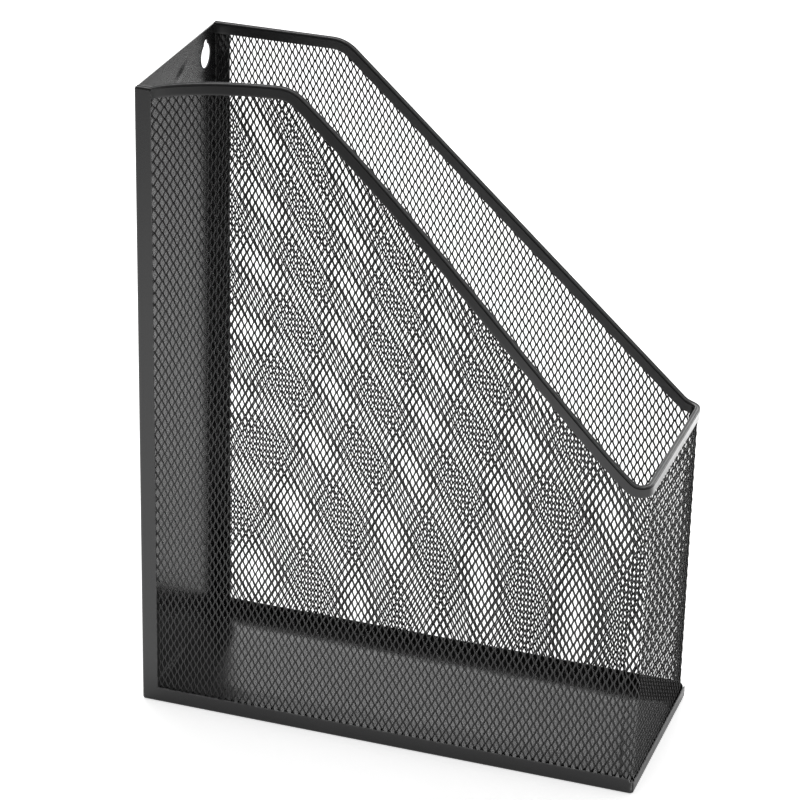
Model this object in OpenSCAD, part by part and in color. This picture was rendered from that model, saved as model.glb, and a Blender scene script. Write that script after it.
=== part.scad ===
// Magazine file holder: a folded sheet back and base, expanded-metal mesh walls and a folded rim.
// Axes: width along X, rear face at +Y, height along +Z. Origin at the centre of the footprint.

/* [Overall size] */
// Width over the side flanges
body_w = 98; // [80:1:120]
// Depth from the rear face to the front face
body_d = 250; // [220:1:290]
// Height of the rear, to the top of the rim
body_h = 320; // [290:1:350]
// Height of the front wall, to the top of the rim
front_h = 161.5; // [110:0.5:200]

/* [Side outline] */
// Level part of each side's top edge, from the rear face to where the slope would start
level_d = 67.5; // [50:0.5:90]
// Distance from the front face to where the slope would end
slope_foot_d = 7; // [4:0.5:30]
// Radius of the bend at the top of the slope
top_bend_r = 18; // [10:1:40]
// Radius of the bend at the foot of the slope
foot_bend_r = 8; // [6:1:22]
// Radius of the upright front corners
corner_r = 6; // [3:0.5:14]

/* [Sheet steel] */
// Thickness of the back and base sheets
sheet_t = 0.8; // [0.5:0.1:1.2]
// Outer radius of the sheets' folds
fold_r = 1.4; // [1.3:0.1:2.5]
// Width of the back's side flanges
back_flange = 8.2; // [6:0.1:12]
// Height of the base's side flanges
base_flange = 8; // [6:0.5:12]
// Height of the base's front flange
front_flange = 6; // [4:0.5:10]
// Corner radius at the free ends of the base's side flanges
flange_end_r = 3; // [0.5:0.25:3]
// Gap between each side flange's free end and the front face
flange_end_gap = 1.2; // [0.8:0.1:3]

/* [Rim] */
// Height of the folded rim over the mesh's top edge
rim_h = 5.5; // [4:0.5:10]
// Thickness of the rim's folded strip
rim_leg = 0.7; // [0.4:0.1:1]
// How far the rim stands above the back sheet's top edge
rim_proud = 0.8; // [0.6:0.1:2]

/* [Mesh] */
// Thickness of the expanded mesh, over its twisted strands
mesh_t = 1.2; // [0.8:0.1:2]
// How far the left wall's free edge leans in at its most
side_bow = 24; // [0:1:28]
// Place of the most lean, as a share of the way from the rear flange to the front corner
bow_peak = 0.32; // [0.25:0.01:0.5]
// Shape of the lean along the edge; smaller is fuller
bow_shape = 0.7; // [0.6:0.05:1.2]
// How fast the lean dies away towards the base; larger is faster
bow_power = 2.2; // [1.5:0.1:3]
// Openings across each side in the plain grid that stands for the expanded mesh
grid_columns = 11; // [4:1:12]
// Openings across the front
front_columns = 4; // [2:1:6]
// Openings from the base to the rim
grid_rows = 10; // [4:1:12]
// Width of the bars between the grid's openings
grid_bar = 3; // [2:0.5:6]
// Solid edge between the grid's openings and the flanges, corners and rim
grid_edge = 0.8; // [0.5:0.1:3]

/* [Wall keyholes] */
// Distance between the two keyholes
keyhole_spacing = 73; // [40:1:76]
// Radius of each keyhole's round part
keyhole_r = 6.5; // [3.5:0.5:7]
// Height from the round part's centre up to the back sheet's top edge
keyhole_drop = 12.3; // [11:0.1:30]
// Radius of the keyhole's narrow end
slot_r = 3.5; // [1.5:0.25:3.5]
// Distance from the round part's centre to the narrow end's centre
slot_rise = 4.7; // [4:0.1:7]

/* [Hidden] */
$fn = 48;
steel = "#3b3b3d";
mesh_black = "#262628";

hw = body_w / 2;
hd = body_d / 2;
sheet_top = body_h - rim_proud;
inner_r = max(fold_r - sheet_t, 0.1);
cut = 1;

// middle of the mesh sheet, which lies against the flanges' inner faces
mesh_x = hw - sheet_t - mesh_t / 2;
mesh_y = hd - sheet_t - mesh_t / 2;
back_in = hd - sheet_t;

// s runs along a wall from the back sheet, forwards along the side and round the corner to the middle
side_len = back_in + mesh_y - corner_r;
arc_len = corner_r * PI / 2;
half_len = side_len + arc_len + mesh_x - corner_r;

// slope of the side's top edge
slope_s = level_d - sheet_t;
foot_s = body_d - sheet_t - slope_foot_d;
slope_a = atan2(body_h - front_h, foot_s - slope_s);
top_tan = top_bend_r * tan(slope_a / 2);
foot_tan = foot_bend_r * tan(slope_a / 2);
bend_1 = slope_s - top_tan;
bend_2 = slope_s + top_tan * cos(slope_a);
bend_3 = foot_s - foot_tan * cos(slope_a);
bend_4 = foot_s + foot_tan;

// height of the top edge, and its downward angle, at s
function top_z(s) =
    s <= bend_1 ? body_h :
    s < bend_2 ? body_h - top_bend_r + sqrt(pow(top_bend_r, 2) - pow(s - bend_1, 2)) :
    s < bend_3 ? body_h - (s - slope_s) * tan(slope_a) :
    s < bend_4 ? front_h + foot_bend_r - sqrt(pow(foot_bend_r, 2) - pow(bend_4 - s, 2)) :
    front_h;
function top_a(s) =
    s <= bend_1 ? 0 :
    s < bend_2 ? asin((s - bend_1) / top_bend_r) :
    s < bend_3 ? slope_a :
    s < bend_4 ? asin((bend_4 - s) / foot_bend_r) :
    0;

// inward lean of the left wall: nothing at the rear flange and at the front corner,
// full at bow_peak along the free edge, and a power of the height below that edge
bow_from = back_flange - sheet_t;
bow_to = side_len - corner_r;
bow_fall = 1 / bow_peak - 1;
bow_norm = bow_peak * pow(1 - bow_peak, bow_fall);
function bow_t(s) = min(max((s - bow_from) / (bow_to - bow_from), 0), 1);
function bow_at(s) = side_bow * pow(bow_t(s) * pow(1 - bow_t(s), bow_fall) / bow_norm, bow_shape);
function lean(s, z) = bow_at(s) * pow(max(z, 0) / top_z(s), bow_power);

// a point of the wall at s and height z, a outwards from the middle of the mesh; side is -1 or 1
function turn(s) = (s - side_len) / corner_r * 180 / PI;
function wall(s, z, a, side) =
    s <= side_len ?
        [side * (mesh_x + a) + (side < 0 ? lean(s, z) : 0), back_in - s, z] :
    s < side_len + arc_len ?
        [side * (mesh_x - corner_r + (corner_r + a) * cos(turn(s))),
         -(mesh_y - corner_r + (corner_r + a) * sin(turn(s))), z] :
        [side * (half_len - s), -(mesh_y + a), z];

// the grid's field on a side wall, clear of the flanges, the corner and the rim
field_from = bow_from + grid_edge;
field_to = side_len - grid_edge;
field_foot = base_flange + grid_edge;
function field_top(s) = top_z(s) - (rim_h + grid_edge) / cos(top_a(s));
grid_pitch = (field_to - field_from + grid_bar) / grid_columns;
grid_edges = [for (i = [0 : grid_columns - 1]) for (e = [0, grid_pitch - grid_bar])
    field_from + i * grid_pitch + e];

// stations along a side, shared by the mesh and the rim: even steps, and the grid's upright edges
function steps(from, to, n) = [for (i = [0 : n - 1]) from + (to - from) * i / n];
function sorted(v) = len(v) < 2 ? v : concat(
    sorted([for (s = v) if (s < v[0]) s]), [v[0]], sorted([for (s = v) if (s > v[0]) s]));
notch_end = bow_from + grid_edge / 2;
profile_stations = concat(
    steps(field_from, bend_1, 7),
    steps(bend_1, bend_2, 6),
    steps(bend_2, min(bend_3, side_len - 3), 14),
    steps(min(bend_3, side_len - 3), side_len, 4));
side_stations = sorted(concat(
    [0, bow_from, notch_end],
    [for (s = profile_stations) if (min([for (e = grid_edges) abs(s - e)]) > 1) s],
    grid_edges,
    [side_len]));
corner_stations = [for (i = [1 : 8]) side_len + arc_len * i / 8];

// rim section: a is outwards, b is down the wall from the rim's top
rim_half = mesh_t / 2 + rim_leg;
round_r = min(1, rim_half - 0.2);
function rim_round(side, i) =
    [side * (rim_half - round_r + round_r * cos(i * 30)), round_r * (1 - sin(i * 30))];
rim_outer = concat([[rim_half, rim_h]], [for (i = [0 : 3]) rim_round(1, i)]);
rim_inner = concat([for (i = [3 : -1 : 0]) rim_round(-1, i)], [[-rim_half, rim_h]]);
rim_slot = [[-mesh_t / 2, rim_h], [-mesh_t / 2, rim_leg], [mesh_t / 2, rim_leg], [mesh_t / 2, rim_h]];
rim_full = concat(rim_outer, rim_inner, rim_slot);
// behind the rear flange the outer leg stops at the flange's top edge
rim_short = concat(
    [for (p = rim_outer) [p[0], p[1] * rim_proud / rim_h]],
    rim_inner,
    [rim_slot[0], rim_slot[1], rim_slot[2], [rim_slot[3][0], rim_proud]]);
n_rim = len(rim_full);

rim_path = concat(
    [for (s = side_stations) [s, -1]],
    [for (s = corner_stations) [s, -1]],
    [for (i = [len(corner_stations) - 1 : -1 : 0]) [corner_stations[i], 1]],
    [for (i = [len(side_stations) - 1 : -1 : 0]) [side_stations[i], 1]]);

function rim_ring(s, side) =
    [for (p = s <= bow_from ? rim_short : rim_full)
        wall(s - p[1] * sin(top_a(s)), top_z(s) - p[1] * cos(top_a(s)), p[0], side)];

// prism across the width from an outline in depth and height
module across(width) {
    translate([-width / 2, 0, 0]) rotate([90, 0, 90]) linear_extrude(height = width) children();
}

// U outline with rounded outer corners: open side up, thickness sheet_t
module u_outline(width, depth) {
    difference() {
        union() {
            translate([-width / 2 + fold_r, 0]) square([width - 2 * fold_r, depth]);
            translate([-width / 2, fold_r]) square([width, depth - fold_r]);
            for (side = [-1, 1]) translate([side * (width / 2 - fold_r), fold_r]) circle(fold_r);
        }
        translate([-width / 2 + sheet_t + inner_r, sheet_t])
            square([width - 2 * (sheet_t + inner_r), depth]);
        translate([-width / 2 + sheet_t, sheet_t + inner_r])
            square([width - 2 * sheet_t, depth]);
        for (side = [-1, 1])
            translate([side * (width / 2 - sheet_t - inner_r), sheet_t + inner_r]) circle(inner_r);
    }
}

// what a rounded corner takes away: corner at the origin, body towards (dir_y, dir_z)
module corner_bit(r, dir_y, dir_z) {
    difference() {
        translate([dir_y > 0 ? -cut : -r, dir_z > 0 ? -cut : -r]) square(r + cut);
        translate([dir_y * r, dir_z * r]) circle(r);
    }
}

// everything below and in front of the mitre between the back and the base
module below_mitre() {
    across(body_w + 2 * cut)
        polygon([
            [hd + cut * back_flange / base_flange, -cut],
            [hd - back_flange, base_flange],
            [hd - back_flange - cut, base_flange],
            [hd - back_flange - cut, -cut]]);
}
module above_mitre() {
    across(body_w + 2 * cut)
        polygon([
            [hd + cut, -cut * base_flange / back_flange],
            [hd - back_flange - cut, base_flange + cut * base_flange / back_flange],
            [hd + cut, base_flange + cut * base_flange / back_flange]]);
}

module keyhole() {
    rotate([90, 0, 0]) translate([0, 0, -sheet_t - cut]) {
        cylinder(r = keyhole_r, h = 2 * (sheet_t + cut));
        translate([0, slot_rise, 0]) cylinder(r = slot_r, h = 2 * (sheet_t + cut));
        translate([-slot_r, 0, 0]) cube([2 * slot_r, slot_rise, 2 * (sheet_t + cut)]);
    }
}

// back sheet with its side flanges folded forwards over the mesh, and two keyholes
module back_panel() {
    color(steel)
    difference() {
        translate([0, hd, 0]) rotate([0, 0, 180]) linear_extrude(height = sheet_top)
            u_outline(body_w, back_flange);
        below_mitre();
        across(body_w + 2 * cut) {
            translate([hd, 0]) corner_bit(fold_r, -1, 1);
            translate([hd - back_flange, sheet_top]) corner_bit(fold_r, 1, -1);
        }
        for (side = [-1, 1])
            translate([side * keyhole_spacing / 2, back_in, sheet_top - keyhole_drop]) keyhole();
    }
}

// base sheet with upturned side flanges and a lower front flange
module base_tray() {
    side_d = body_d - flange_end_gap;
    color(steel)
    difference() {
        union() {
            translate([0, hd, 0]) rotate([90, 0, 0]) linear_extrude(height = side_d)
                u_outline(body_w, base_flange);
            across(body_w - 2 * sheet_t) difference() {
                union() {
                    translate([-hd + fold_r, 0]) square([body_d / 4, sheet_t]);
                    translate([-hd, fold_r]) square([sheet_t, front_flange - fold_r]);
                    translate([-hd + fold_r, fold_r]) circle(fold_r);
                }
                translate([-hd + sheet_t + inner_r, sheet_t + inner_r]) circle(inner_r);
                translate([-hd + sheet_t, sheet_t + inner_r]) square([fold_r, fold_r]);
                translate([-hd + sheet_t + inner_r, sheet_t]) square([fold_r, fold_r]);
            }
        }
        above_mitre();
        across(body_w + 2 * cut) translate([hd, 0]) corner_bit(fold_r, -1, 1);
        for (side = [-1, 1])
            translate([side * (hw - sheet_t / 2), -hd + flange_end_gap, base_flange])
                across(sheet_t + inner_r) corner_bit(flange_end_r, 1, -1);
    }
}

// rows of the mesh at s: the foot, the lower and upper edge of each row of openings, and the top under the rim's roof
row_bar = grid_bar * grid_rows / (body_h - rim_h - field_foot);
function row_share(k) = (k % 2 == 1 ? (k - 1) / 2 : k / 2 - row_bar) / (grid_rows - row_bar);
last_row = 2 * grid_rows + 1;
function mesh_z(s, k) =
    k == 0 ? sheet_t :
    k == last_row ? top_z(s) - rim_leg / cos(top_a(s)) :
    field_foot + (field_top(s) - field_foot) * row_share(k);

// right wall: one flat mesh sheet under the rim
module right_mesh() {
    color(mesh_black)
    translate([mesh_x, 0, 0]) across(mesh_t) difference() {
        polygon(concat(
            [[back_in - side_len, sheet_t], [back_in, sheet_t]],
            [for (s = side_stations) [back_in - s, mesh_z(s, last_row)]]));
        for (i = [0 : grid_columns - 1], k = [1 : 2 : last_row - 2]) {
            from = grid_edges[2 * i];
            to = grid_edges[2 * i + 1];
            span = [for (s = side_stations) if (s >= from && s <= to) s];
            polygon(concat(
                [for (s = span) [back_in - s, mesh_z(s, k)]],
                [for (j = [len(span) - 1 : -1 : 0]) [back_in - span[j], mesh_z(span[j], k + 1)]]));
        }
    }
}

// front wall with the two upright corner bends
module front_mesh() {
    cx = mesh_x - corner_r;
    cy = mesh_y - corner_r;
    pitch = (2 * cx + grid_bar) / front_columns;
    color(mesh_black)
    difference() {
        translate([0, 0, sheet_t]) linear_extrude(height = front_h - rim_leg - sheet_t) {
            translate([-cx, -mesh_y - mesh_t / 2]) square([2 * cx, mesh_t]);
            for (side = [-1, 1]) translate([side * cx, -cy]) intersection() {
                difference() {
                    circle(corner_r + mesh_t / 2);
                    circle(corner_r - mesh_t / 2);
                }
                translate([side < 0 ? -2 * corner_r : 0, -2 * corner_r]) square(2 * corner_r);
            }
        }
        for (i = [0 : front_columns - 1], k = [1 : 2 : last_row - 2])
            translate([i * pitch - cx, -mesh_y - cut, mesh_z(side_len, k)])
                cube([pitch - grid_bar, 2 * cut, mesh_z(side_len, k + 1) - mesh_z(side_len, k)]);
    }
}

// left wall: the same sheet and openings, leaning in towards its free edge
function opens(i) = let (u = (side_stations[i] + side_stations[i + 1]) / 2 - field_from)
    u > 0 && u < field_to - field_from && u - floor(u / grid_pitch) * grid_pitch < grid_pitch - grid_bar;
module left_mesh() {
    n = len(side_stations);
    m = last_row + 1;
    points = [for (a = [-mesh_t / 2, mesh_t / 2]) for (s = side_stations) for (k = [0 : last_row])
        wall(s, mesh_z(s, k), a, -1)];
    // skin is 0 on the inner face and 1 on the outer one
    function at(skin, i, k) = (skin * n + i) * m + k;
    function faces_up(i, k) = [
        [at(0, i, k), at(1, i + 1, k), at(0, i + 1, k)], [at(0, i, k), at(1, i, k), at(1, i + 1, k)]];
    function faces_down(i, k) = [
        [at(0, i, k), at(0, i + 1, k), at(1, i + 1, k)], [at(0, i, k), at(1, i + 1, k), at(1, i, k)]];
    function faces_front(i, k) = [
        [at(0, i, k), at(0, i, k + 1), at(1, i, k + 1)], [at(0, i, k), at(1, i, k + 1), at(1, i, k)]];
    function faces_rear(i, k) = [
        [at(0, i, k), at(1, i, k + 1), at(0, i, k + 1)], [at(0, i, k), at(1, i, k), at(1, i, k + 1)]];
    function cell(i, k) = [
        [at(0, i, k), at(0, i, k + 1), at(0, i + 1, k + 1)], [at(0, i, k), at(0, i + 1, k + 1), at(0, i + 1, k)],
        [at(1, i, k), at(1, i + 1, k + 1), at(1, i, k + 1)], [at(1, i, k), at(1, i + 1, k), at(1, i + 1, k + 1)]];
    function around(i, k) = concat(
        faces_up(i, k), faces_down(i, k + 1),
        opens(i - 1) ? [] : faces_front(i, k),
        opens(i + 1) ? [] : faces_rear(i + 1, k));
    faces = concat(
        [for (i = [0 : n - 2]) for (k = [0 : m - 2]) for (f = k % 2 == 1 && k < last_row - 1 && opens(i) ? around(i, k) : cell(i, k)) f],
        [for (i = [0 : n - 2]) for (f = concat(faces_down(i, 0), faces_up(i, m - 1))) f],
        [for (k = [0 : m - 2]) for (f = concat(faces_rear(0, k), faces_front(n - 1, k))) f]);
    color(mesh_black) polyhedron(points = points, faces = faces, convexity = 10);
}

// one folded strip that grips the mesh's top edge from the back sheet, round the front, to the back
module top_rim() {
    rings = [for (p = rim_path) rim_ring(p[0], p[1])];
    n = len(rings);
    points = [for (r = rings) for (p = r) p];
    function at(i, k) = i * n_rim + k % n_rim;
    sides = [for (i = [0 : n - 2]) for (k = [0 : n_rim - 1]) for (h = [0, 1])
        h == 0 ? [at(i, k), at(i, k + 1), at(i + 1, k + 1)]
               : [at(i, k), at(i + 1, k + 1), at(i + 1, k)]];
    // each end is closed by the outer leg, the roof and the inner leg
    cap = [[0, 1, 12, 13], [1, 2, 3, 4, 5, 6, 7, 8, 11, 12], [8, 9, 10, 11]];
    ends = concat(
        [for (c = cap) [for (k = [len(c) - 1 : -1 : 0]) at(0, c[k])]],
        [for (c = cap) [for (k = c) at(n - 1, k)]]);
    color(steel) polyhedron(points = points, faces = concat(sides, ends), convexity = 6);
}

back_panel();
base_tray();
left_mesh();
front_mesh();
right_mesh();
top_rim();
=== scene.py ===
"""Magazine file holder: a folded sheet back and base, expanded steel walls and a folded rim, satin black.

Shapes are worked out in millimetres, in the frame's axes: +Z up, the back at +Y, the low front at -Y.
"""
import math

import bmesh
import bpy
import numpy as np
from mathutils import Matrix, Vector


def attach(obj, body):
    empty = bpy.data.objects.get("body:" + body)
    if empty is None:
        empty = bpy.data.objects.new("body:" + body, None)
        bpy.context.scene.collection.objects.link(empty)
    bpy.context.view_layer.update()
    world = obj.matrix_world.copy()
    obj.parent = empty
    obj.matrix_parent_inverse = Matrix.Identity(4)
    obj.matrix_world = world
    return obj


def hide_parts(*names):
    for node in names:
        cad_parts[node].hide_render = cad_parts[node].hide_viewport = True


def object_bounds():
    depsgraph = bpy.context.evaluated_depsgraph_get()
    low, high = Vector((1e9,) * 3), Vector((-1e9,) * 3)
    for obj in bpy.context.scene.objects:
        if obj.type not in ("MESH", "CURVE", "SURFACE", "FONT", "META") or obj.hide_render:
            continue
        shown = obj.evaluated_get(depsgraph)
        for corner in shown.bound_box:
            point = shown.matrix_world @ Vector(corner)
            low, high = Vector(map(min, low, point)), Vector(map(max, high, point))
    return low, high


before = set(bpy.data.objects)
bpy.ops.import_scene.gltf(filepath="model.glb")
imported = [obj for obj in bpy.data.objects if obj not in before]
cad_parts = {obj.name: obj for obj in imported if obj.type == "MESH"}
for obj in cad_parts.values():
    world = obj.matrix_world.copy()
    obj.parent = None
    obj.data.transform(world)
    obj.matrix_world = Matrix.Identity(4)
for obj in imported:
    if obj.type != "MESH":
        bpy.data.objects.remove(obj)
cad_low, cad_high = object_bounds()

# ---------------------------------------------------------------- sizes, mm
to_mm, to_m = 1000, 0.001
body_w = (cad_high.x - cad_low.x) * to_mm
body_d = (cad_high.y - cad_low.y) * to_mm
body_h = cad_high.z * to_mm
half_w, half_d = body_w / 2, body_d / 2
front_h = 161.5
level_d, slope_foot_d = 67.5, 7
top_bend_r, foot_bend_r, corner_r = 18, 8, 6
sheet_t, fold_r = 0.8, 1.4
back_flange, base_flange, front_flange = 8.2, 8, 6
flange_end_r, flange_end_gap, flange_side_gap = 3, 1.2, 0.05
rim_h, rim_leg, rim_proud = 5.5, 0.7, 0.8
mesh_t = 1.2
side_bow, bow_peak, bow_shape, bow_power = 24, 0.32, 0.7, 2.2
keyhole_spacing, keyhole_r, keyhole_drop = 73, 5.9, 12.9
slot_r, slot_rise = 2.5, 5.4
panel_border, panel_rise = 21, 2.0

# the sheets: half their thickness, the folds' middle radius and centre lines, the back flanges' free edge
half_t = sheet_t / 2
mid_r = fold_r - half_t
fold_x, fold_y, fold_z = half_w - fold_r, half_d - fold_r, fold_r
flange_y = half_d - back_flange
sheet_top = body_h - rim_proud

# the mesh's middle surface, and s, the way along it from the back sheet, round the corner, to mid-front
mesh_x = half_w - sheet_t - mesh_t / 2
mesh_y = half_d - sheet_t - mesh_t / 2
back_in = half_d - sheet_t
side_len = back_in + mesh_y - corner_r
arc_len = corner_r * math.pi / 2
front_run = mesh_x - corner_r
half_len = side_len + arc_len + front_run
full_len = 2 * half_len

# the top edge: the slope's angle, and the s of the two bends' ends
slope_s = level_d - sheet_t
foot_s = body_d - sheet_t - slope_foot_d
slope_a = math.atan2(body_h - front_h, foot_s - slope_s)
top_reach, foot_reach = top_bend_r * math.tan(slope_a / 2), foot_bend_r * math.tan(slope_a / 2)
bend_1 = slope_s - top_reach
bend_2 = slope_s + top_reach * math.cos(slope_a)
bend_3 = foot_s - foot_reach * math.cos(slope_a)
bend_4 = foot_s + foot_reach
bow_from, bow_to = back_flange - sheet_t, side_len - corner_r


# ---------------------------------------------------------------- the wall's surface
def stretches(s):
    """Whether s is before the end of the rear level, the top bend, the slope and the foot bend, in that
    order."""
    return [s <= bend_1, s < bend_2, s < bend_3, s < bend_4]


def top_z(s):
    """Height of the top edge at s: level, a round bend, a straight slope, a round bend, level."""
    up = body_h - top_bend_r + np.sqrt(np.maximum(top_bend_r**2 - (s - bend_1) ** 2, 0))
    slope = body_h - (s - slope_s) * math.tan(slope_a)
    foot = front_h + foot_bend_r - np.sqrt(np.maximum(foot_bend_r**2 - (bend_4 - s) ** 2, 0))
    return np.select(stretches(s), [body_h + 0 * s, up, slope, foot], front_h)


def top_a(s):
    """Downward angle of the top edge at s, from the arcs' own sines."""
    up = np.arcsin(np.clip((s - bend_1) / top_bend_r, 0, 1))
    foot = np.arcsin(np.clip((bend_4 - s) / foot_bend_r, 0, 1))
    return np.select(stretches(s), [0 * s, up, slope_a + 0 * s, foot], 0)


def lean(s, z):
    """Inward lean of the left wall: with t the share of the way from flange to corner, t(1-t)^p, scaled
    to 1 at its peak and raised to the bow's shape, times the bow, times a power of the height's share of
    the top edge's."""
    t = np.clip((s - bow_from) / (bow_to - bow_from), 0, 1)
    p = 1 / bow_peak - 1
    along = (t * (1 - t) ** p / (bow_peak * (1 - bow_peak) ** p)) ** bow_shape
    return side_bow * along * (np.maximum(z, 0) / top_z(s)) ** bow_power


def wall(s, z, a, side):
    """Point of a wall, left where side is -1 and right where it is 1: straight forwards, a quarter round
    at the front corner, straight across the front. z is up, and a outwards from the mesh's middle."""
    s, z, a = np.broadcast_arrays(np.asarray(s, float), z, a)
    turn = (s - side_len) / corner_r
    inset = lean(s, z) if side < 0 else 0.0
    part = [s <= side_len, s < side_len + arc_len]
    side_x = side * (mesh_x + a) + inset
    corner_x = side * (front_run + (corner_r + a) * np.cos(turn))
    corner_y = -(mesh_y - corner_r + (corner_r + a) * np.sin(turn))
    x = np.select(part, [side_x, corner_x], side * (half_len - s))
    y = np.select(part, [back_in - s, corner_y], -(mesh_y + a))
    return np.stack([x, y, z + 0 * s], -1)


# ---------------------------------------------------------------- making pieces
sharp_angle = 40
weld_m, sliver_m = 2e-7, 1e-8


def put(name, points, quads, finish, nodes, sharp=sharp_angle, wear_and_highlight=None):
    """Quads and points in millimetres become one smooth-shaded piece at the origin. With sharp 0 the
    points stay as they are, otherwise they are welded and edges past that angle stay sharp. The last
    argument is how much lighter the coat is at each point: partly rubbed coat, partly painted highlight."""
    mesh = bpy.data.meshes.new(name)
    mesh.vertices.add(len(points))
    mesh.vertices.foreach_set("co", (points * to_m).astype(np.float32).ravel())
    mesh.loops.add(quads.size)
    mesh.loops.foreach_set("vertex_index", quads.astype(np.int32).ravel())
    mesh.polygons.add(len(quads))
    mesh.polygons.foreach_set("loop_start", np.arange(0, quads.size, 4, dtype=np.int32))
    mesh.update(calc_edges=True)
    if wear_and_highlight is not None:
        mesh.attributes.new("wear_and_highlight", "FLOAT", "POINT").data.foreach_set("value", wear_and_highlight.astype(np.float32))
    if sharp:
        work = bmesh.new()
        work.from_mesh(mesh)
        bmesh.ops.remove_doubles(work, verts=work.verts, dist=weld_m)
        bmesh.ops.dissolve_degenerate(work, edges=work.edges, dist=sliver_m)
        bmesh.ops.recalc_face_normals(work, faces=work.faces)
        work.to_mesh(mesh)
        work.free()
    mesh.shade_smooth()
    if sharp:
        mesh.set_sharp_from_angle(angle=math.radians(sharp))
    mesh.materials.append(finish)
    piece = bpy.data.objects.new(name, mesh)
    bpy.context.scene.collection.objects.link(piece)
    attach(piece, "root")
    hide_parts(*nodes)


def grid_quads(rows, columns, loop=False):
    """Quads of a rows x columns grid of points, closed round the columns where loop is set."""
    i, j = np.meshgrid(np.arange(rows - 1), np.arange(columns if loop else columns - 1), indexing="ij")
    k = (j + 1) % columns
    near, far = i * columns, (i + 1) * columns
    return np.stack([near + j, near + k, far + k, far + j], -1).reshape(-1, 4)


def ease(t):
    """Smooth step of t from 0 to 1."""
    t = np.clip(t, 0, 1)
    return t * t * (3 - 2 * t)


def quarter(count):
    """Angles from 0 to a right angle, count steps."""
    return np.linspace(0, math.pi / 2, count + 1)


def steps(start, stop, size):
    """Even stations from start to stop, about size apart, both ends in."""
    return np.linspace(start, stop, max(1, round(abs(stop - start) / size)) + 1)


def stations(stops, sizes):
    """Stations through all the stops, each stretch between two of them in even steps of about its own
    size."""
    runs = [steps(start, stop, size) for start, stop, size in zip(stops, stops[1:], sizes)]
    return np.concatenate([runs[0]] + [run[1:] for run in runs[1:]])


# ---------------------------------------------------------------- folded sheets
# inland is the distance given to points that are far from any free edge
edge_steps = np.array([0, 0.02, 0.08, 0.18, 0.3])
edge_zone, inland = 0.6, 9.0
fold_steps, mitre_rows = 8, 5
weld_digits, closed_t, tiny = 4, 1e-6, 1e-9


def round_edge(d):
    """Half thickness at distance d from a free edge: a quarter ellipse up to the last edge step, then the
    full half."""
    t = np.clip(d / edge_steps[-1], 0, 1)
    return half_t * np.sqrt(np.maximum(1 - (1 - t) ** 2, 0))


def folded_sheet(name, patches, nodes):
    """Patches of a sheet's middle surface, each (points, normals, distance to the free edge, quads), are
    welded, given the sheet's thickness along the normals, rounded at free edges and closed where the
    sheet meets another."""
    points, normals, edge, quads, start = [], [], [], [], 0
    for p, n, d, q in patches:
        points.append(p.reshape(-1, 3))
        normals.append(n.reshape(-1, 3))
        edge.append(d.ravel())
        quads.append(q + start)
        start += p.size // 3
    points, normals, edge, quads = map(np.concatenate, (points, normals, edge, quads))
    rounded = np.round(points, weld_digits)
    _, first, same = np.unique(rounded, axis=0, return_index=True, return_inverse=True)
    points, normals, edge, quads = points[first], normals[first], edge[first], same.reshape(-1)[quads]
    half = round_edge(edge)[:, None]
    count = len(points)
    sides = np.stack([quads, np.roll(quads, -1, 1)], -1).reshape(-1, 2)
    sides = sides[sides[:, 0] != sides[:, 1]]
    _, where, uses = np.unique(np.sort(sides, 1), axis=0, return_index=True, return_counts=True)
    rim = sides[where[uses == 1]]
    rim = rim[(half[rim, 0] > closed_t).any(1)]
    closing = np.stack([rim[:, 1], rim[:, 0], rim[:, 0] + count, rim[:, 1] + count], -1)
    everything = np.concatenate([quads, quads[:, ::-1] + count, closing])
    # near free edges the coat is lighter: partly rubbed coat, partly a painted highlight along the edges
    wear_and_highlight = np.tile(np.clip(1 - edge / edge_zone, 0, 1), 2)
    both = np.concatenate([points + normals * half, points - normals * half])
    put(name, both, everything, sheet_finish, nodes, wear_and_highlight=wear_and_highlight)


def up_to_edge(run, size):
    """Stations up a flange, from just past its fold to its free edge."""
    return np.concatenate([steps(0, run - edge_zone, size)[1:], run - edge_steps[::-1]])


def fold_columns(flat, flange):
    """Stations across a sheet with a flange folded up on each side, as arrays of the kind (-1 on the left
    side, 0 on the flat, 1 on the right side), the angle round the fold, and the way across the flat or up
    the flange."""
    arc = quarter(fold_steps)
    left = [(-1, math.pi / 2, up) for up in flange[::-1]] + [(-1, a, 0.0) for a in arc[::-1][:-1]]
    right = [(1, a, 0.0) for a in arc[1:]] + [(1, math.pi / 2, up) for up in flange]
    return np.array(left + [(0, 0.0, x) for x in flat] + right).T


def fold_x_at(kind, angle, run):
    """Place across of fold_columns' stations: along the flat, then round the fold's middle radius."""
    return np.where(kind == 0, run, kind * (fold_x + mid_r * np.sin(angle)))


def mitre(kind, angle, run, back):
    """A sheet's turn about the rear fold's centre, up to the mitre between back and base. With a the
    angle round the side fold and b the turn, the normal is (sin a cos b, cos a cos b, -sin b) on the back
    and (sin a cos b, sin b, -cos a cos b) on the base, and b ends where its tangent is cos a."""
    b = np.arctan(np.cos(angle)) * np.linspace(0, 1, mitre_rows)[:, None]
    flat, turned = np.cos(angle) * np.cos(b), np.sin(b)
    y, z = (flat, -turned) if back else (turned, -flat)
    normals = np.stack([kind * np.sin(angle) * np.cos(b), y, z], -1)
    across = np.where(kind == 0, run, kind * fold_x)
    centre = np.stack(np.broadcast_arrays(across, fold_y, fold_z + 0 * b), -1)
    quads = grid_quads(*b.shape)
    return centre + mid_r * normals, normals, np.full(b.shape, inland), quads if back else quads[:, ::-1]


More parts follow.
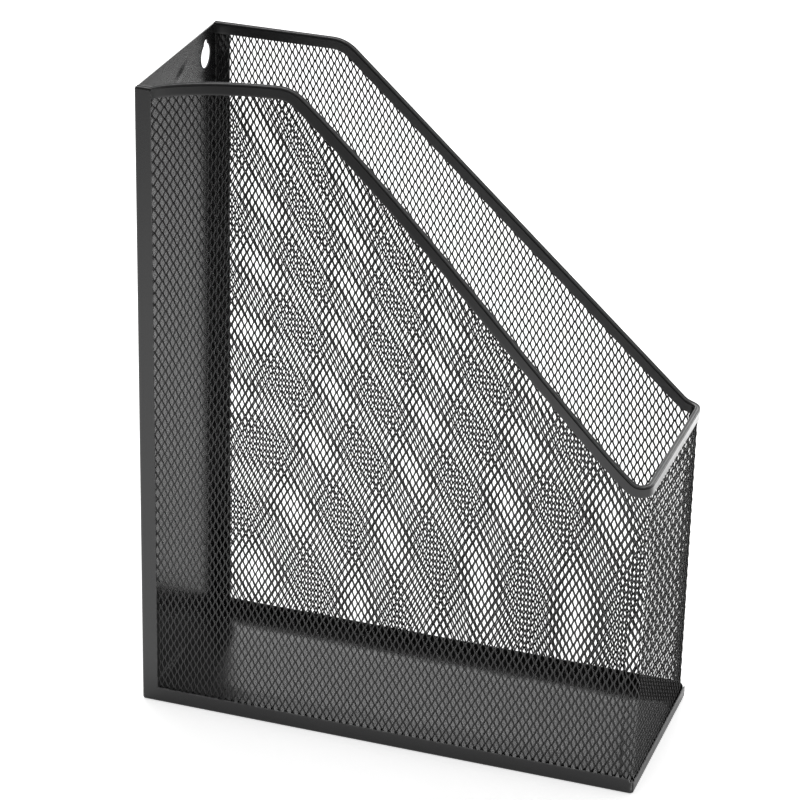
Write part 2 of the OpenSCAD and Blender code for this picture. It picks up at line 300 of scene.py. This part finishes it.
# ---------------------------------------------------------------- back sheet
# a keyhole's window in the grid, from the round part's centre. It goes further up, to take the neck
window_half, window_below, window_above = 10, 9, 11
ring_steps, ring_shares = [0.6, 1.2], [0.6, 0.6, 0.6, 0.6, 0.6, 2 / 3, 0.8]
wave_h, wave_x, wave_z = 0.10, 0.045, 0.021
crease_x, crease_z, crease_depth = 5, 308, 0.6
crease_half_w, crease_half_len = 1.6, 6
crease_across, crease_up = 0.95, 0.32
panel_dish = 0.10
plain_edge, fade_side, fade_foot, fade_top = 3, 12, 20, 6


def keyhole_reach(angle):
    """Distance from the round part's centre to the keyhole's outline: the round part's radius, or the
    neck's straight sides and round end where they reach further."""
    sin, cos = np.sin(angle), np.maximum(np.abs(np.cos(angle)), tiny)
    side_up = sin / cos * slot_r
    straight = np.where((sin > 0) & (side_up <= slot_rise), slot_r / cos, 0)
    inside = (slot_rise * sin) ** 2 - slot_rise**2 + slot_r**2
    end = slot_rise * sin + np.sqrt(np.maximum(inside, 0))
    end = np.where((sin > 0) & (side_up > slot_rise), end, 0)
    return np.maximum(np.maximum(keyhole_r, straight), end)


def panel_relief(x, z):
    """How far the back sheet's middle stands from flat: long shallow waves, a slight dish and one small
    crease near the top, a bell across and along its own slanting line. All fade towards the edges."""
    waves = wave_h * np.sin(x * wave_x + 0.6) * np.sin(z * wave_z + 0.4)
    along = (x - crease_x) * crease_across + (z - crease_z) * crease_up
    over = -(x - crease_x) * crease_up + (z - crease_z) * crease_across
    crease = -crease_depth * np.exp(-((over / crease_half_w) ** 2) - (along / crease_half_len) ** 2)
    fade = ease((half_w - plain_edge - np.abs(x)) / fade_side) * ease((z - plain_edge) / fade_foot)
    fade = fade * ease((sheet_top - z) / fade_top)
    return (waves + crease) * fade - panel_dish * fade


def keyhole_rings(hole_z):
    """One patch for each keyhole: rings from the hole's outline to the window's edge, each a share of the
    way or a fixed distance out, whichever is less."""
    across, up = np.arange(-window_half, window_half), np.arange(-window_below, window_above)
    downwards = window_above - window_below - up
    sides = [(across, 0 * across - window_below), (0 * up + window_half, up),
             (-across, 0 * across + window_above), (0 * up - window_half, downwards)]
    window = np.concatenate([np.stack(side, -1) for side in sides]).astype(float)
    reach = keyhole_reach(np.arctan2(window[:, 1], window[:, 0]))
    size = np.hypot(*window.T)
    outwards = window / size[:, None]
    room = size - reach
    fixed = np.append(edge_steps, ring_steps)[:, None]
    rings = np.concatenate([np.minimum(fixed, room * np.array(ring_shares)[:, None]), room[None]])
    places = outwards * reach[:, None] + outwards * rings[..., None]
    patches = []
    for side in (-1, 1):
        x, z = places[..., 0] + side * keyhole_spacing / 2, places[..., 1] + hole_z
        y = fold_y + mid_r + panel_relief(x, z)
        normals = np.broadcast_to([0.0, 1, 0], x.shape + (3,))
        patches.append((np.stack([x, y, z], -1), normals, rings, grid_quads(*rings.shape, loop=True)))
    return patches


def back_sheet():
    """Middle surface of the back: a flat panel, a quarter round of the fold's middle radius and a flat
    flange on each side. The keyholes' windows in the grid are filled by their rings. The lowest rows are
    drawn towards the mitre with the base's flange, and the flange's upper end is rounded. Below the
    fold's height the sheet turns under."""
    low_z, corner_z = 20, 3
    hole_z = sheet_top - keyhole_drop
    low, high = hole_z - window_below, hole_z + window_above
    inner, outer = keyhole_spacing / 2 - window_half, keyhole_spacing / 2 + window_half
    flange_run = back_flange - fold_r
    flat = stations([-fold_x, -outer, -inner, inner, outer, fold_x], [1.4, 1.0, 2.2, 1.0, 1.4])
    kind, angle, run = fold_columns(flat, up_to_edge(flange_run, 1.0))
    heights = np.concatenate([stations([fold_z, low_z, low, high], [1.6, 3.4, 1.0]),
                              sheet_top - np.array([0.75, 0.5]), sheet_top - edge_steps[::-1]])
    on_flange = angle == math.pi / 2
    x = fold_x_at(kind, angle, run)
    y = np.where(on_flange, fold_y - run, fold_y + mid_r * np.cos(angle))
    bottom = fold_z + (base_flange - fold_z) * np.clip((fold_y - y) / (fold_y - flange_y), 0, 1)
    off = np.clip(y - flange_y, 0, fold_r)
    top = sheet_top - (fold_r - np.sqrt(fold_r**2 - (fold_r - off) ** 2)) * on_flange
    level = heights[:, None]
    z = np.where(level < low_z, bottom + (level - fold_z) * (low_z - bottom) / (low_z - fold_z), level)
    z = z - (sheet_top - top) * np.clip((level - (sheet_top - corner_z)) / corner_z, 0, 1)
    x, y, level = np.broadcast_arrays(x, y, level)
    normals = np.stack(np.broadcast_arrays(kind * np.sin(angle), np.cos(angle), 0 * z), -1)
    free = np.minimum(np.where(on_flange, flange_run - run, inland), sheet_top - level)
    relief = panel_relief(x, z) * (kind == 0)
    quads = grid_quads(*z.shape)
    quad_x, quad_z = x.ravel()[quads].mean(1), level.ravel()[quads].mean(1)
    on_panel = (kind == 0)[quads % len(kind)].all(1)
    beside = np.abs(np.abs(quad_x) - keyhole_spacing / 2) < window_half
    windowed = beside & (quad_z > low) & (quad_z < high) & on_panel
    solid = quads[~windowed][:, ::-1]
    panel = (np.stack([x, y + relief, z], -1), normals, free, solid)
    patches = [panel] + keyhole_rings(hole_z) + [mitre(kind, angle, run, back=True)]
    folded_sheet("back_sheet", patches, ["back_panel"])


# ---------------------------------------------------------------- base tray
ripple_h, ripple_x, ripple_y = 0.10, 0.05, 0.03
ripple_fade_x, ripple_fade_y, ripple_edge = 10, 20, 4


def tray_rise(x, y):
    """How far the base's floor stands above flat: a slow ripple that fades towards the edges, and a
    raised middle, from which a border slopes down on all sides to just short of the folds."""
    ripple = ripple_h * np.sin(x * ripple_x + 1) * np.sin(y * ripple_y)
    ripple = ripple * ease((fold_x - np.abs(x)) / ripple_fade_x)
    ripple = ripple * ease((half_d - ripple_edge - np.abs(y)) / ripple_fade_y)
    border = np.maximum(np.abs(x) - (half_w - panel_border), np.abs(y) - (half_d - panel_border))
    raised = panel_rise * np.clip(1 - border / (panel_border - fold_r - 1), 0, 1)
    return np.maximum(ripple + raised, 0)


def front_fold(flat, last, front):
    """The floor's quarter round up into the front flange, and the flange itself, from the floor's last
    shared row. The stations spread smoothly as they turn, to the side flanges' inner faces, less a small
    gap. The fold's ends count as free edges once they have turned a little."""
    up, free_turn = front_flange - fold_r, 0.3
    rows = [(last, fold_z - mid_r, 0.0, inland)]
    for a in quarter(fold_steps):
        rows.append((front - mid_r * math.sin(a), fold_z - mid_r * math.cos(a), a, inland))
    for rise in up_to_edge(up, 1.0):
        rows.append((front - mid_r, fold_z + rise, math.pi / 2, up - rise))
    y, z, angle, edge = np.array(rows).T[:, :, None]
    spread = (half_w - sheet_t - flange_side_gap - fold_x) / fold_x
    x = flat * (1 + spread * ease(angle / (math.pi / 2)))
    points = np.stack(np.broadcast_arrays(x, y, z), -1)
    normals = np.stack(np.broadcast_arrays(0 * x, -np.sin(angle), -np.cos(angle)), -1)
    free = np.minimum(edge, np.where(angle > free_turn, fold_x - np.abs(flat), inland))
    return points, normals, free, grid_quads(*x.shape)


def base_sheet():
    """Middle surface of the base: a floor with a raised middle, a quarter round and an upturned flange on
    each side. The side flanges run from the mitre at the rear to a rounded end at the front. The floor
    alone goes on round the front fold into the lower front flange."""
    rear_y, end_zone, end_step = 100, 6, 0.5
    front, side_end = fold_r - half_d, flange_end_gap - half_d
    tall = base_flange - fold_r
    near_fold = fold_x - edge_steps[::-1]
    flat = np.concatenate([-near_fold[::-1], steps(-near_fold[0], near_fold[0], 2.2)[1:-1], near_fold])
    kind, angle, run = fold_columns(flat, up_to_edge(tall, 1.1))
    depths = stations([fold_y, rear_y, side_end + end_zone, side_end + end_step], [1.6, 3.6, 0.45])
    depths = np.concatenate([depths, side_end + edge_steps[::-1]])
    on_flange = angle == math.pi / 2
    rise = np.where(on_flange, fold_z + run, fold_z - mid_r * np.cos(angle))
    share = np.clip((rise - fold_z) / (base_flange - fold_z), 0, 1)
    rear = fold_y - (fold_y - flange_y) * share * on_flange
    depth = depths[:, None]
    y = np.where(depth > rear_y, rear - (fold_y - depth) * (rear - rear_y) / (fold_y - rear_y), depth)
    near_end = np.clip(y - side_end, 0, flange_end_r)
    drop = flange_end_r - np.sqrt(flange_end_r**2 - (flange_end_r - near_end) ** 2)
    z = np.where(on_flange, fold_z + (rise - fold_z) * (tall - drop) / tall, rise + 0 * y)
    x = fold_x_at(kind, angle, run) + 0 * y
    normals = np.stack(np.broadcast_arrays(kind * np.sin(angle), 0 * y, -np.cos(angle)), -1)
    free_top = np.where(on_flange, (tall - run) * (tall - drop) / tall, inland)
    free = np.minimum(free_top, np.where(kind != 0, y - side_end, inland))
    quads = grid_quads(*y.shape)
    on_floor = (kind == 0)[quads % len(kind)].all(1)
    ahead = depths[quads // len(kind)].min(1) < front
    tray = (np.stack([x, y, z + tray_rise(x, y)], -1), normals, free, quads[~(on_floor & ahead)])
    last = depths[depths >= front].min()
    patches = [tray, front_fold(flat, last, front), mitre(kind, angle, run, back=False)]
    folded_sheet("base_sheet", patches, ["base_tray"])


# ---------------------------------------------------------------- rim
shoulder_r, leg_end_r = 0.5, 0.22
shoulder_steps, leg_end_steps, leg_cell = 5, 3, 0.9
groove_low, groove_mid, groove_half, groove_rows = 1.45, 0.95, 0.36, 14
groove_depth, groove_shape = 0.48, 1.2
valley = np.array([[0.66, 0.08], [0.5, 0.36], [0.2, 0.52]])
notch_gap, notch_step, slack = 0.05, 0.3, 0.001
rim_ripple, ripple_fast, ripple_slow = 0.05, 0.11, 0.037
# where along the section the shoulders' lighter coat lies: partly rubbed, partly painted highlight
rubbed_highlight_at, rubbed_highlight_half = 0.1, 0.3


def rim_section():
    """The folded strip's section as (outwards, down from the top): two legs with a rolled shoulder at the
    top of each, a valley between the shoulders, softened leg ends, and below each shoulder a narrow
    groove, whose depth is a power of a cosine."""
    half = mesh_t / 2 + rim_leg
    turn, tip = quarter(shoulder_steps), quarter(leg_end_steps)
    plain_leg = steps(rim_h - leg_end_r, groove_low, leg_cell)
    leg = np.concatenate([plain_leg, np.linspace(groove_low, shoulder_r, groove_rows)[1:]])
    from_mid = np.clip((leg - groove_mid) / groove_half, -1, 1)
    groove = groove_depth * np.cos(from_mid * math.pi / 2) ** groove_shape
    tip_down = rim_h - leg_end_r + leg_end_r * np.cos(tip)
    outer_tip = np.stack([half - leg_end_r + leg_end_r * np.sin(tip), tip_down], -1)
    inner_tip = np.stack([mesh_t / 2 + leg_end_r - leg_end_r * np.sin(tip), tip_down], -1)
    outer_leg = np.stack([half - groove, leg], -1)[1:-1]
    shoulder_out = half - shoulder_r + shoulder_r * np.cos(turn)
    shoulder = np.stack([shoulder_out, shoulder_r - shoulder_r * np.sin(turn)], -1)
    right = np.concatenate([outer_tip, outer_leg, shoulder, valley])
    left = right[::-1] * [-1, 1]
    slot = np.stack([np.full(3, -mesh_t / 2), [rim_h * 0.6, rim_h * 0.3, rim_leg]], -1)
    inner = np.concatenate([inner_tip * [-1, 1], slot, slot[::-1] * [-1, 1], inner_tip[::-1]])
    return np.concatenate([right, left, inner])


def rim_strip():
    """The section carried along the top edge, square to its slope: from the back sheet forwards on the
    left, round the front corners and back on the right, with a faint ripple outwards. Along the back
    sheet's flanges the outer leg stops at the flange's top. The shoulders' tops get a lighter coat,
    partly rubbed and partly a painted highlight line."""
    section = rim_section()
    notch = bow_from + notch_gap
    stops = [notch + notch_step, bend_1, bend_2, bend_3, side_len, side_len + arc_len]
    forwards = np.concatenate([stations([0, notch_gap, bow_from], [notch_gap, 1.2]), [notch],
                               stations(stops, [1.6, 1.0, 2.2, 1.0, 0.7])])
    across = steps(side_len + arc_len, half_len, 2.4)[1:]
    s = np.concatenate([forwards, across, across[::-1][1:], forwards[::-1]])[:, None]
    left = (np.arange(len(s)) < len(forwards) + len(across))[:, None, None]
    a, b = np.broadcast_to(section.T[:, None], (2, len(s), len(section)))
    short = (s < notch - slack) & (a > mesh_t / 2 - slack) & (b > rim_proud)
    b = np.where(short, rim_proud, b)
    slope = top_a(s)
    run, z = s - b * np.sin(slope), top_z(s) - b * np.cos(slope)
    ripple = rim_ripple * np.sin(s * ripple_fast) * np.sin(s * ripple_slow + 1)
    points = np.where(left, wall(run, z, a + ripple, -1), wall(run, z, a + ripple, 1))
    size = len(section)
    quads = grid_quads(len(s), size, loop=True)
    k = np.arange(size // 2 - 1)
    cap = np.stack([k, k + 1, size - 2 - k, size - 1 - k], -1)
    everything = np.concatenate([quads, cap[:, ::-1], cap + (len(s) - 1) * size])
    # the shoulders' tops are lighter: partly rubbed coat, partly a painted highlight line
    wear_and_highlight = (np.clip(1 - np.abs(b - rubbed_highlight_at) / rubbed_highlight_half, 0, 1) * (np.abs(a) > mesh_t / 2)).ravel()
    points = points.reshape(-1, 3)
    put("rim_strip", points, everything, rim_finish, ["top_rim"], wear_and_highlight=wear_and_highlight)


# ---------------------------------------------------------------- expanded mesh
left_w, right_w, front_w = 0.65, 0.72, 0.90
strand_t = 0.35
strand_tilt = math.radians(-16.5)
bond_half = 0.13
strip_count, knot_count = 168, 130
floor_gap, rear_gap, rim_gap = 0.15, 0.7, 0.5


def around(run, z, a):
    """Point of the mesh as one unrolled sheet: along the left wall, across the front and back along the
    right."""
    run, z, a = np.broadcast_arrays(np.asarray(run, float), z, a)
    return np.where((run <= half_len)[..., None], wall(run, z, a, -1), wall(full_len - run, z, a, 1))


def zigzag(v):
    """Wave of period 2 between 1 and -1: flat for the bond's length round each whole number, straight
    between."""
    w = np.abs((v + 1) % 2 - 1)
    return np.clip((0.5 - w) / (0.5 - bond_half), -1, 1)


def expanded_mesh(name, cad_node, cells, rear_w, first, last):
    """Slit and stretched sheet: strips run up the wall, side by side, each swinging from the bond with
    one neighbour to the bond with the other. A strip's section is a small rectangle turned by the
    strands' tilt, and its middle moves through the sheet's thickness as it swings, so that bonded strips
    lie edge to edge. cells maps strip number and height number to the unrolled sheet. The strands widen
    from rear_w at the back sheet to front_w at the front, with the square of the way. Strips outside
    first to last along the run are left out."""
    strip = np.arange(-2, strip_count)[:, None]
    knots = np.arange(-3, knot_count)
    v = (knots[:, None] + [-bond_half, bond_half, 0.5]).reshape(-1)[None]
    swing = zigzag(v - strip)
    run, z = cells(strip - 0.5, v)
    pitch = cells(strip + 0.5, v)[0] - run
    forwards = np.clip(np.minimum(run, full_len - run) / side_len, 0, 1)
    width = rear_w + (front_w - rear_w) * forwards**2
    run = run + swing * (pitch - width * math.cos(strand_tilt)) / 2
    kept = (run.mean(1) > first) & (run.mean(1) <= last)
    run, z, swing, width = run[kept], z[kept], swing[kept], width[kept]

    # the section's four corners, along the run and outwards
    shift = -swing * width / 2 * math.sin(strand_tilt)
    wide, thick = width[..., None] / 2 * np.array([-1, 1, 1, -1]), strand_t / 2 * np.array([-1, -1, 1, 1])
    along = wide * math.cos(strand_tilt) - thick * math.sin(strand_tilt)
    outwards = wide * math.sin(strand_tilt) + thick * math.cos(strand_tilt)
    points = around(run[..., None] + along, z[..., None], shift[..., None] + outwards)

    # sections under the base, past the rim's fold or in the back sheet are left out, open ends are closed
    s = np.where(run <= half_len, run, full_len - run)
    top = top_z(s) - (rim_leg + rim_gap) / np.cos(top_a(s))
    valid = (z > sheet_t + floor_gap) & (z < top) & (s > rear_gap)
    number = np.full(valid.shape, -1)
    number[valid] = np.arange(valid.sum())
    joined = valid[:, :-1] & valid[:, 1:]
    here, above = number[:, :-1][joined][:, None] * 4, number[:, 1:][joined][:, None] * 4
    k, m = np.arange(4), (np.arange(4) + 1) % 4
    tubes = np.stack([here + k, here + m, above + m, above + k], -1).reshape(-1, 4)
    below_valid = np.pad(valid, ((0, 0), (1, 0)))[:, :-1]
    above_valid = np.pad(valid, ((0, 0), (0, 1)))[:, 1:]
    feet = number[valid & ~below_valid & above_valid][:, None] * 4 + [3, 2, 1, 0]
    heads = number[valid & below_valid & ~above_valid][:, None] * 4 + [0, 1, 2, 3]
    everything = np.concatenate([tubes, feet, heads])
    points = points[valid].reshape(-1, 3)
    put(name, points, everything, mesh_finish, [cad_node], sharp=0)


def even_cells(short, long, origin_s, origin_z):
    """Even cells: strips half a short diagonal apart, knots half a long diagonal apart."""
    def place(i, v):
        return origin_s + short / 2 * i + 0 * v, origin_z + long / 2 * v + 0 * i
    return place


def stretched_cells(across, up, mid_strip=82, mid_knot=50, mirrored=False):
    """Cells of unevenly stretched sheet. With i and v the strip and height numbers over a hundred,
    counted from the wall's middle, s and z are sums of c i^a v^b for a + b up to 3, the coefficients c in
    the order of a, then b."""
    powers = [(a, b) for a in range(4) for b in range(4 - a)]

    def place(i, v):
        i, v = (i - mid_strip) / 100 * (-1 if mirrored else 1), (v - mid_knot) / 100
        s, z = (sum(c * i**a * v**b for c, (a, b) in zip(terms, powers)) for terms in (across, up))
        return full_len - s if mirrored else s, z
    return place


left_across = (118.27, -1.90, 3.00, -12.09, 177.17, -2.88, 1.68, 9.45, 9.37, -3.60)
left_up = (121.25, 312.99, -6.98, -14.63, 6.26, 15.85, -2.26, 5.82, 15.36, -3.58)
right_across = (118.45, -6.80, -12.66, -5.47, 175.62, -9.64, -17.12, 4.24, -1.83, 2.92)
right_up = (121.84, 313.49, -32.24, -3.78, 5.24, 6.98, -41.31, -1.80, -8.69, 3.08)
left_cells = stretched_cells(left_across, left_up)
right_cells = stretched_cells(right_across, right_up, mirrored=True)
front_cells = even_cells(short=3.5, long=5.9, origin_s=side_len, origin_z=0.3)


# ---------------------------------------------------------------- shader nodes
def node(tree, kind, **values):
    """A shader node with its settings and its sockets' values."""
    made = tree.nodes.new(kind)
    for key, value in values.items():
        if hasattr(made, key):
            setattr(made, key, value)
        else:
            made.inputs[key.replace("_", " ")].default_value = value
    return made


def ramp(tree, source, low, high):
    """A value from 0 to 1 carried evenly onto low to high."""
    made = node(tree, "ShaderNodeMapRange", To_Min=low, To_Max=high)
    tree.links.new(source, made.inputs["Value"])
    return made.outputs["Result"]


def falling(tree, source, start, stop):
    """1 where the value is at start, 0 at stop, smooth between."""
    made = node(tree, "ShaderNodeMapRange", interpolation_type="SMOOTHSTEP", From_Min=start, From_Max=stop,
                To_Min=1, To_Max=0)
    tree.links.new(source, made.inputs["Value"])
    return made.outputs["Result"]


def maths(tree, operation, *values):
    """A math node's output, from outputs or plain numbers."""
    made = node(tree, "ShaderNodeMath", operation=operation)
    for socket, value in zip(made.inputs, values):
        if isinstance(value, (int, float)):
            socket.default_value = value
        else:
            tree.links.new(value, socket)
    return made.outputs["Value"]


def blend(tree, share, first, second):
    """A colour from first to second as the share goes from 0 to 1. Each is a colour or an output."""
    made = node(tree, "ShaderNodeMix", data_type="RGBA")
    tree.links.new(share, made.inputs["Factor"])
    for name, colour in (("A", first), ("B", second)):
        if isinstance(colour, tuple):
            made.inputs[name].default_value = (*colour, 1)
        else:
            tree.links.new(colour, made.inputs[name])
    return made.outputs["Result"]


def seen_light(tree, for_camera, for_gloss):
    """Strength for_camera on rays from the camera and for_gloss on glossy and transmission rays."""
    path = tree.nodes.new("ShaderNodeLightPath")
    gloss = maths(tree, "MAXIMUM", path.outputs["Is Glossy Ray"], path.outputs["Is Transmission Ray"])
    camera_part = maths(tree, "MULTIPLY", path.outputs["Is Camera Ray"], for_camera)
    return maths(tree, "ADD", camera_part, maths(tree, "MULTIPLY", gloss, for_gloss))


# ---------------------------------------------------------------- finishes
coat_ior, peel_depth = 1.5, 0.00006
gloss_change, shade_change = 0.06, 1.45
least_rub_highlight, most_rub_highlight = -0.6, 1.1


def black_coat(name, colour, rough, grain, worn_and_highlight, sheen):
    """Baked satin coat on steel: fine orange peel as bump, slow changes of gloss and shade, and a
    thinner, greyer coat on rubbed edges, broken up by specks, which also paints a highlight along them."""
    finish = bpy.data.materials.new(name)
    finish.use_nodes = True
    tree = finish.node_tree
    shader = tree.nodes["Principled BSDF"]
    shader.inputs["IOR"].default_value = coat_ior
    shader.inputs["Specular IOR Level"].default_value = sheen
    place = tree.nodes.new("ShaderNodeTexCoord").outputs["Object"]
    peel = node(tree, "ShaderNodeTexNoise", Scale=900, Detail=2.0, Roughness=0.5)
    slow = node(tree, "ShaderNodeTexNoise", Scale=38, Detail=3.0, Roughness=0.6)
    specks = node(tree, "ShaderNodeTexNoise", Scale=420, Detail=1.0, Roughness=0.4)
    for texture in (peel, slow, specks):
        tree.links.new(place, texture.inputs["Vector"])
    gloss = ramp(tree, slow.outputs["Fac"], rough - gloss_change, rough + gloss_change)
    tree.links.new(gloss, shader.inputs["Roughness"])
    coat = blend(tree, slow.outputs["Fac"], colour, tuple(c * shade_change for c in colour))
    # the lighter coat where marked, broken up by specks: partly rubbed coat, partly painted highlight
    edge = node(tree, "ShaderNodeAttribute", attribute_name="wear_and_highlight")
    rub_and_highlight = node(tree, "ShaderNodeMath", operation="MULTIPLY", use_clamp=True)
    tree.links.new(edge.outputs["Fac"], rub_and_highlight.inputs[0])
    tree.links.new(ramp(tree, specks.outputs["Fac"], least_rub_highlight, most_rub_highlight), rub_and_highlight.inputs[1])
    tree.links.new(blend(tree, rub_and_highlight.outputs["Value"], coat, worn_and_highlight), shader.inputs["Base Color"])
    bump = node(tree, "ShaderNodeBump", Strength=grain, Distance=peel_depth)
    tree.links.new(peel.outputs["Fac"], bump.inputs["Height"])
    tree.links.new(bump.outputs["Normal"], shader.inputs["Normal"])
    return finish


# the greyer edge colours are partly rubbed coat, partly a painted highlight along edges and the rim's
# shoulders
sheet_finish = black_coat("sheet_satin_black", colour=(0.013, 0.013, 0.0135), rough=0.24, grain=0.35,
                          worn_and_highlight=(0.15, 0.15, 0.152), sheen=0.68)
rim_finish = black_coat("rim_satin_black", colour=(0.016, 0.016, 0.0165), rough=0.32, grain=0.30,
                        worn_and_highlight=(0.11, 0.11, 0.112), sheen=0.68)
mesh_finish = black_coat("mesh_satin_black", colour=(0.003, 0.003, 0.003), rough=0.24, grain=0.25,
                         worn_and_highlight=(0.03, 0.03, 0.03), sheen=0.62)


# ---------------------------------------------------------------- the holder
# each long wall's mesh is two pieces, split at this share of the wall
split_share = 0.42
split_s = side_len * split_share
right_from, right_split = full_len - side_len, full_len - split_s
back_sheet()
base_sheet()
rim_strip()
expanded_mesh("mesh_left_rear", "left_mesh", left_cells, left_w, 0, split_s)
expanded_mesh("mesh_left_front", "left_mesh", left_cells, left_w, split_s, side_len)
expanded_mesh("mesh_front", "front_mesh", front_cells, front_w, side_len, right_from)
expanded_mesh("mesh_right_front", "right_mesh", right_cells, right_w, right_from, right_split)
expanded_mesh("mesh_right_rear", "right_mesh", right_cells, right_w, right_split, full_len)


# ---------------------------------------------------------------- floor, light and camera, m
floor_reach = 6.0
near_r, far_r = 0.40, 1.50
# the floor's colour greys away from the holder: painted shade
near_white, far_shade_grey = (0.80, 0.80, 0.80), (0.32, 0.32, 0.32)
# the floor's glow in reflections is painted light, more to the right and less in a painted shadow strip
# under the holder
near_loss, floor_glow, right_gain, shadow_strip_loss = 0.40, 0.60, 0.35, 0.45
shadow_strip_x, clear_x = 0.05, 0.09
bright_x, dim_x = 0.30, -0.04
sky_low, sky_gain, sky_right = 0.26, 0.50, 0.30
above_full, above_none = 0.85, 0.25
right_full, right_none = 0.45, -0.25


def floor():
    """A white sheet, greyer farther off as painted shade, lifted to white where the camera sees it, with
    the shadow kept. Mirrored in the holder it glows only near by, as painted light: more on the right, and
    least in a strip straight under the holder, a painted shadow."""
    mesh = bpy.data.meshes.new("floor")
    corners = [(x * floor_reach, y * floor_reach, 0) for x, y in ((-1, -1), (1, -1), (1, 1), (-1, 1))]
    mesh.from_pydata(corners, [], [(0, 1, 2, 3)])
    surface = bpy.data.materials.new("floor_white")
    surface.use_nodes = True
    tree = surface.node_tree
    shader = tree.nodes["Principled BSDF"]
    place = tree.nodes.new("ShaderNodeTexCoord").outputs["Object"]
    far = node(tree, "ShaderNodeVectorMath", operation="LENGTH")
    tree.links.new(place, far.inputs[0])
    near = falling(tree, far.outputs["Value"], near_r, far_r)
    # painted shade: the floor's colour greys farther off
    tree.links.new(blend(tree, near, far_shade_grey, near_white), shader.inputs["Base Color"])
    shader.inputs["Roughness"].default_value = 0.9
    shader.inputs["Specular IOR Level"].default_value = 0.1
    shader.inputs["Emission Color"].default_value = (1, 1, 1, 1)
    axes = tree.nodes.new("ShaderNodeSeparateXYZ")
    tree.links.new(place, axes.inputs["Vector"])
    # painted shadow: less glow in reflections along a strip straight under the holder
    shadow_strip = falling(tree, maths(tree, "ABSOLUTE", axes.outputs["X"]), shadow_strip_x, clear_x)
    # painted light: more glow in reflections to the right
    bright = maths(tree, "MULTIPLY", falling(tree, axes.outputs["X"], bright_x, dim_x), right_gain)
    glow = maths(tree, "ADD", floor_glow, bright)
    glow = maths(tree, "SUBTRACT", glow, maths(tree, "MULTIPLY", shadow_strip, shadow_strip_loss))
    for_camera = maths(tree, "SUBTRACT", 1.0, maths(tree, "MULTIPLY", near, near_loss))
    lift = seen_light(tree, for_camera, maths(tree, "MULTIPLY", near, glow))
    tree.links.new(lift, shader.inputs["Emission Strength"])
    mesh.materials.append(surface)
    made = bpy.data.objects.new("floor", mesh)
    bpy.context.scene.collection.objects.link(made)


def softbox(name, at, target, size, glow):
    """A rectangular lamp of the given radiance, facing the target, unseen itself by the camera."""
    lamp = bpy.data.lights.new(name, "AREA")
    lamp.shape = "RECTANGLE"
    lamp.size, lamp.size_y = size
    lamp.energy = glow * math.pi * size[0] * size[1]
    made = bpy.data.objects.new(name, lamp)
    at, target = np.array(at, float), np.array(target, float)
    back = (at - target) / np.linalg.norm(at - target)
    right = np.cross([0, 0, 1], back)
    right = right / np.linalg.norm(right)
    matrix = np.eye(4)
    matrix[:3] = np.stack([right, np.cross(back, right), back, at], -1)
    made.matrix_world = Matrix(matrix.tolist())
    made.visible_camera = False
    bpy.context.scene.collection.objects.link(made)


def studio():
    """A surround that the camera sees white, and that lights the holder more from overhead and from the
    right, with one broad lamp overhead, one beside and one low in front."""
    world = bpy.data.worlds.new("studio")
    bpy.context.scene.world = world
    world.use_nodes = True
    tree = world.node_tree
    sky = tree.nodes["Background"]
    sky.inputs["Color"].default_value = (1, 1, 1, 1)
    axes = tree.nodes.new("ShaderNodeSeparateXYZ")
    tree.links.new(tree.nodes.new("ShaderNodeTexCoord").outputs["Generated"], axes.inputs["Vector"])
    above = falling(tree, axes.outputs["Z"], above_full, above_none)
    right = falling(tree, axes.outputs["X"], right_full, right_none)
    gain = maths(tree, "MULTIPLY", maths(tree, "MAXIMUM", above, right), sky_gain)
    plain = maths(tree, "ADD", sky_low, gain)
    for_camera = maths(tree, "SUBTRACT", 1.0, plain)
    seen = seen_light(tree, for_camera, maths(tree, "MULTIPLY", right, sky_right))
    tree.links.new(maths(tree, "ADD", plain, seen), sky.inputs["Strength"])
    softbox("overhead", (0.9, 0.45, 1.5), (0, 0, 0.15), (1.25, 1.25), 2.1)
    softbox("beside", (1.5, 0.50, 0.75), (0, 0, 0.1), (1.3, 0.62), 2.0)
    softbox("front_low", (0.30, -0.28, 0.05), (0, -0.125, 0.14), (0.30, 0.10), 2.2)


def camera():
    """A long lens above the holder's left side and a little to the front, looking down on it."""
    lens = bpy.data.cameras.new("camera")
    lens.sensor_width = 36
    lens.lens = 150.92
    lens.clip_end = 50
    made = bpy.data.objects.new("camera", lens)
    right = (0.3238675, -0.9458801, 0.0205111)
    down = (-0.4015976, -0.1570712, -0.9022461)
    ahead = (0.8566383, 0.2839710, -0.4307335)
    at = (-1.364037, -0.441027, 0.846790)
    made.matrix_world = Matrix([[right[i], -down[i], -ahead[i], at[i]] for i in range(3)] + [[0, 0, 0, 1]])
    bpy.context.scene.collection.objects.link(made)
    bpy.context.scene.camera = made


floor()
studio()
camera()
bpy.context.scene.view_settings.view_transform = "Standard"

bpy.context.view_layer.update()
